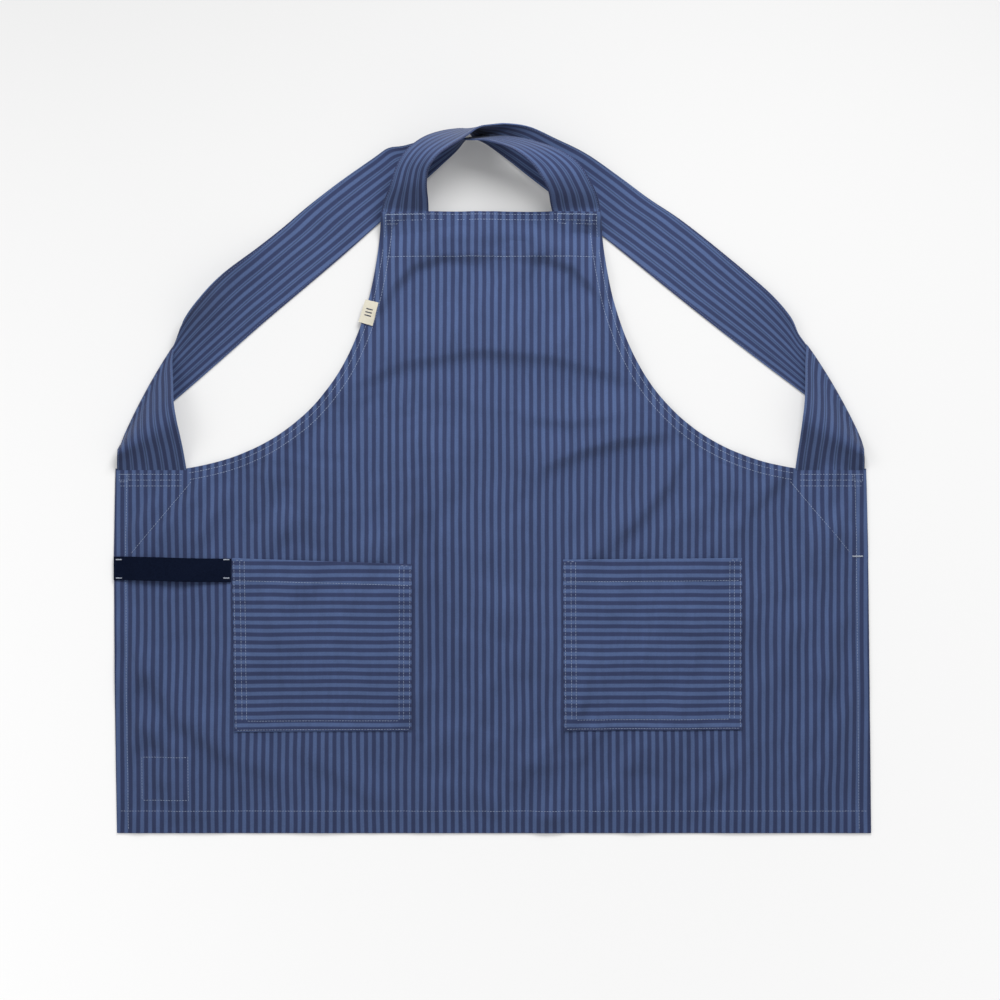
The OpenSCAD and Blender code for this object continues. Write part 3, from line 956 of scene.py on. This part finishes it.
def smooth_route(stations, step=5.0):
    """Points on a smooth curve through the stations, about one step apart."""
    s = np.array(stations, float)
    ends = np.vstack([2 * s[0] - s[1], s, 2 * s[-1] - s[-2]])
    out = []
    for p0, p1, p2, p3 in zip(ends, ends[1:], ends[2:], ends[3:]):
        reach = max(np.linalg.norm(p2[:3] - p1[:3]), np.linalg.norm(p2[3:] - p1[3:]))
        count = max(1, int(round(reach / step)))
        for t in np.arange(count) / count:
            out.append(0.5 * (2 * p1 + (p2 - p0) * t + (2 * p0 - 5 * p1 + 4 * p2 - p3) * t ** 2
                              + (3 * p1 - p0 - 3 * p2 + p3) * t ** 3))
    out.append(s[-1])
    return np.array(out)


def across_strap(station, k):
    """Points across the band. On its way to the side its neck edge curls up from the table."""
    row = station[:3] * (1 - k) + station[3:] * k
    curled = smoothstep((abs(station[0]) - 130) / 80) * smoothstep((25 - station[2]) / 20)
    rise = (station[5] - station[2]) * (k[:, 0] ** (1 + 1.6 * curled) - k[:, 0])
    row[:, 2] += rise
    return row


def strap_rows(route, leaf, bulge):
    """Rows of points across the strap: up to the side fold, round it, and down to the body."""
    lower, upper = smooth_route(route), smooth_route(leaf)
    k = np.linspace(0, 1, ACROSS + 1)[:, None]
    rows = [across_strap(s, k) for s in lower]
    first, last = lower[-1], upper[0]
    fold = first[3:] - first[:3]
    side = math.copysign(1, first[0])
    outward = side * np.array([-fold[1], fold[0], 0]) / np.linalg.norm(fold[:2])
    if outward[0] * side < 0:
        outward = -outward
    radius = (last[2] - first[2]) / 2
    start, end = rows[-1], last[:3] * (1 - k) + last[3:] * k
    for angle in np.linspace(0, math.pi, 8)[1:-1]:
        share = (1 - math.cos(angle)) / 2
        out = outward * radius * 0.5 * math.sin(angle) * np.sqrt(4 * k * (1 - k))
        rows.append(start * (1 - share) + end * share + out)
    rows += [s[:3] * (1 - k) + s[3:] * k for s in upper]
    rows = np.array(rows)
    near = np.clip(1 - np.abs(np.arange(len(rows)) - len(lower)) / 10, 0, 1)
    rows += (bulge * near)[:, None, None] * outward * (4 * k * (1 - k))
    return rows


def strap_width(rows):
    """The band widens from the bib to the side: 58 to 86 mm across."""
    run = run_along(rows[:, ACROSS // 2])
    return run, BIB_END + (SIDE_END - BIB_END) * smoothstep(run / run[-1] * 1.1)


def make_strap(name, route, leaf, bulge=3.0):
    rows = strap_rows(route, leaf, bulge)
    points = rows.reshape(-1, 3)
    x, y, z = points.T
    run, width = strap_width(rows)
    sewn = np.repeat(np.exp(-run / 22), ACROSS + 1)
    foot = np.repeat(np.exp(-(run[-1] - run) / 9), ACROSS + 1)
    z = z + (lie(x, np.minimum(y, BODY_L)) - 0.6) * sewn
    z = z + (lie(x, np.minimum(y, SHOULDER_Y)) - 0.6) * foot
    piece = new_piece(name, points_of(x, y, z), net_faces(len(rows), ACROSS + 1), strap_denim)
    k = np.linspace(-0.5, 0.5, ACROSS + 1)
    u = (width[:, None] * k[None]).ravel() * MM
    v = np.repeat(run, ACROSS + 1) * MM
    set_uv(piece, np.stack([u, v], 1))
    finish_mesh(piece, thickness=1.5, offset=0.0)
    soften(piece, 0.45)
    print(f"{name}: {len(rows)} rows, {run[-1]:.0f} mm long")
    return piece, np.stack([x, y, z], 1).reshape(rows.shape), width


left_strap, left_rows, left_width = make_strap("left_strap_cloth", LEFT_ROUTE, LEFT_LEAF)
right_strap, right_rows, right_width = make_strap("right_strap_cloth", RIGHT_ROUTE, RIGHT_LEAF)

# %% [markdown]
# ## Sewing thread
# Pale thread shows along every hem. One stitch is a small pointed bead, and a row is the same bead
# set down every few millimetres along a line, on whatever height the cloth has there.

# %% Stitch rows
STITCH, GAP, THREAD = 2.9, 0.5, 0.24
random = np.random.default_rng(7)


def top_of(piece):
    """The height of a finished piece at any point, found by looking straight down at it."""
    mesh = piece.data
    tree = BVHTree.FromPolygons([v.co for v in mesh.vertices], [p.vertices for p in mesh.polygons])

    def height(x, y):
        found = []
        for px, py in zip(*settle(np.asarray(x, float), np.asarray(y, float))):
            hit = tree.ray_cast(Vector(at(px, py, 200)), Vector((0, 0, -1)))[0]
            found.append(hit.z / MM if hit else (found[-1] if found else 2.0))
        return np.array(found)
    return height


panel_top = top_of(body)


def pressed_onto(direction, normal):
    """A direction with its part along the normal taken out, of length one."""
    return one_long(direction - normal * (direction * normal).sum(1, keepdims=True))


def sample(s, run, values):
    """Each column of values, read at the distances s along the run."""
    return np.stack([np.interp(s, run, column) for column in values.T], 1)


def resample(points, step):
    """Even steps along a line of points, with the direction at each."""
    p = np.array(points, float)
    run = run_along(p)
    count = max(1, int(run[-1] / step))
    s = (np.arange(count) + 0.5) * run[-1] / count
    return sample(s, run, p), one_long(sample(s + 0.5, run, p) - sample(s - 0.5, run, p))


def beads(centres, along, normals, length=STITCH, width=THREAD):
    """Points and faces of one bead for each stitch."""
    side = np.cross(normals, along)
    tips = [centres - along * length / 2, centres + along * length / 2]
    rings = []
    for t in (-0.3, 0.3):
        middle = centres + along * length * t
        for angle in (0, 90, 180, 270):
            a = math.radians(angle)
            rings.append(middle + side * math.cos(a) * width + normals * math.sin(a) * width * 0.8)
    shape = np.stack([*tips, *rings], 1)
    faces = []
    local = [(0, 3, 2), (0, 4, 3), (0, 5, 4), (0, 2, 5), (2, 3, 7, 6), (3, 4, 8, 7), (4, 5, 9, 8),
             (5, 2, 6, 9), (1, 6, 7), (1, 7, 8), (1, 8, 9), (1, 9, 6)]
    for n in range(len(centres)):
        faces += [tuple(10 * n + i for i in f) for f in local]
    return shape.reshape(-1, 3), faces


def row_on(surface, line, step=STITCH + GAP):
    """Centres, directions and normals of one row of stitches on a surface."""
    dense, _ = resample(line, 2.0)
    flat, along = resample(dense, step)
    along = along + random.normal(0, 0.05, along.shape)
    x, y = flat.T
    z = surface(x, y) + THREAD * 0.5
    dzx = (surface(x + 1, y) - surface(x - 1, y)) / 2
    dzy = (surface(x, y + 1) - surface(x, y - 1)) / 2
    normals = one_long(np.stack([-dzx, -dzy, np.ones(len(x))], 1))
    run = np.concatenate([along, np.zeros((len(x), 1))], 1)
    return np.stack([x, y, z], 1), pressed_onto(run, normals), normals


def sew(name, rows, material, length=STITCH, width=THREAD):
    points, faces, count = [], [], 0
    for centres, along, normals in rows:
        p, f = beads(centres, along, normals, length, width)
        faces += [tuple(i + count for i in face) for face in f]
        points.append(p)
        count += len(p)
    p = np.concatenate(points)
    piece = new_piece(name, points_of(p[:, 0], p[:, 1], p[:, 2]), faces, material)
    return finish_mesh(piece, merge=0.0, angle=60)


def box_line(x0, y0, x1, y1):
    return [(x0, y0), (x1, y0), (x1, y1), (x0, y1), (x0, y0)]


lines = [[(-HALF_W + 4, HEM_L), (HALF_W - 4, HEM_L)]]
for side in (-1, 1):
    x = side * (HALF_W - SIDE_HEM)
    lines.append([(x, 4), (x, SHOULDER_Y - 6)])
    for inset in (6, 14):
        curve = armhole(np.linspace(0.0, 0.995, 80), inset)
        lines.append([(side * px, py) for px, py in curve if py < BODY_L - 2 and px < SHOULDER_X])
    lines.append([(side * 363, 426), (side * 436, 338)])
    lines += [[(side * 374, y), (side * 452, y)] for y in (434, 427, 420)]
    lines.append(box_line(side * 440, 425, side * 452, 434))
    lines.append(box_line(side * 80, 735, side * 127, 746))
lines += [[(-HALF_BIB + 4, y), (HALF_BIB - 4, y)] for y in (745.5, 739, 696)]
lines.append(box_line(*BACK_LABEL[0], *BACK_LABEL[2]))
body_rows = [row_on(panel_top, line) for line in lines]
body_thread = sew("body_stitching", body_rows, pale_thread)
print(len(lines), "rows of stitches on the body")

# %% Pocket stitching
def inside_line(corners, u0, v0, u1, v1):
    """A line across a pocket, from one pair of distances to another, from its lower left."""
    wide, tall = pocket_size(corners)
    return [tuple(between(corners, u / wide, v / tall)) for u, v in ((u0, v0), (u1, v1))]


for side, corners in POCKETS.items():
    wide, tall = pocket_size(corners)
    rows = []
    for d, foot in ((2.3, 2.3), (9.5, 13), (15, 13)):
        rows += [((d, foot), (d, tall - 2)), ((wide - d, foot), (wide - d, tall - 2))]
    rows += [((2.3, 2.3), (wide - 2.3, 2.3)), ((15, 13), (wide - 15, 13)),
             ((3, tall - MOUTH_HEM), (wide - 3, tall - MOUTH_HEM)),
             ((3, tall - 2.5), (15, tall - 2.5)),
             ((wide - 15, tall - 2.5), (wide - 3, tall - 2.5))]
    surface = top_of(pockets[side])
    made = sew(f"{side}_pocket_stitching",
               [row_on(surface, inside_line(corners, *p, *q)) for p, q in rows], pale_thread)
    pockets[side] = join(f"{side}_pocket_cloth", [pockets[side], made])
    print(f"{side} pocket: {len(rows)} rows of stitches")

# %% Strap stitching
STITCH_LIFT = 0.85


def strap_stitches(rows, width, inset=2.2):
    """Rows of stitches along both edges of a strap, on both of its faces."""
    along = np.gradient(rows, axis=0)
    across = np.gradient(rows, axis=1)
    normals = one_long(np.cross(along, across))
    index = np.arange(len(rows))
    sets = []
    for k in (inset / width, 1 - inset / width):
        column = k * ACROSS
        low = np.clip(column.astype(int), 0, ACROSS - 1)
        part = (column - low)[:, None]
        line = rows[index, low] * (1 - part) + rows[index, low + 1] * part
        normal = normals[index, low]
        own = run_along(line)
        s = np.arange(4, own[-1] - 3, STITCH + GAP)
        place, facing = sample(s, own, line), one_long(sample(s, own, normal))
        ahead = pressed_onto(sample(s + 1, own, line) - place, facing)
        for sign in (-1, 1):
            sets.append((place + facing * sign * STITCH_LIFT, ahead, facing * sign))
    return sets


for strap, rows, width in ((left_strap, left_rows, left_width),
                           (right_strap, right_rows, right_width)):
    made = sew(strap.name + "_stitching", strap_stitches(rows, width), blue_thread)
    join(strap.name, [strap, made])
    print(f"{strap.name}: {len(strap.data.polygons)} faces with its thread")

# %% Bar tacks
ZIGZAG, ZIGZAG_TILT, TACK_LIFT = 0.55, 0.28, 0.3


def tack(x, y, length, surface):
    """A dense little bar of zigzag thread, lying across the apron."""
    n = int(length / ZIGZAG)
    cx = x + (np.arange(n) - (n - 1) / 2) * ZIGZAG
    cy = np.full(n, float(y))
    centres = np.stack([cx, cy, surface(cx, cy) + TACK_LIFT], 1)
    tilt = np.where(np.arange(n) % 2 == 0, ZIGZAG_TILT, -ZIGZAG_TILT)
    along = np.stack([-np.sin(tilt), np.cos(tilt), np.zeros(n)], 1)
    return centres, along, np.tile([0.0, 0.0, 1.0], (n, 1))


def loop_top(x, y):
    return lie(x, y) + loop_height(x) + LOOP_T


loop_tacks = sew("towel_loop_bar_tacks",
                 [tack(x, y, 7.5, loop_top) for x in (-450.5, -320) for y in (331, 308.7)],
                 white_thread, length=1.6, width=0.34)
corner_bars = sew("corner_bar_tacks",
                  [tack(-445, 330, 12, panel_top), tack(444, 335, 13, panel_top)],
                  white_thread, length=2.2, width=0.36)
print("bar tacks:", loop_tacks.name, corner_bars.name)

# %% [markdown]
# ## Putting the pieces in place
# The cloth that stays with the apron is told that it moves with the root body. The straps cross
# the hinge at the top of the bib; they are kept where they lie and are given no body. The model's
# own parts that these pieces stand for are hidden.

# %% Bodies and hidden parts
for piece in (body, bib_facing, *arm_facings, *corner_patches, back_label, *pockets.values(), loop,
              edge_label, body_thread, loop_tacks, corner_bars):
    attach(piece, "root")
for strap in (left_strap, right_strap):
    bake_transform(strap)

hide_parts("body_panel")
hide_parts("bib_facing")
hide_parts("left_armhole_facing")
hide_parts("right_armhole_facing")
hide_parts("left_corner_patch")
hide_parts("right_corner_patch")
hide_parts("label_patch")
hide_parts("left_pocket")
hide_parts("right_pocket")
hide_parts("towel_loop")
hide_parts("towel_loop_tacks")
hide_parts("corner_tacks")
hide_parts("edge_label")
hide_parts("left_strap_neck", "left_strap_back")
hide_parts("right_strap_neck", "right_strap_back")
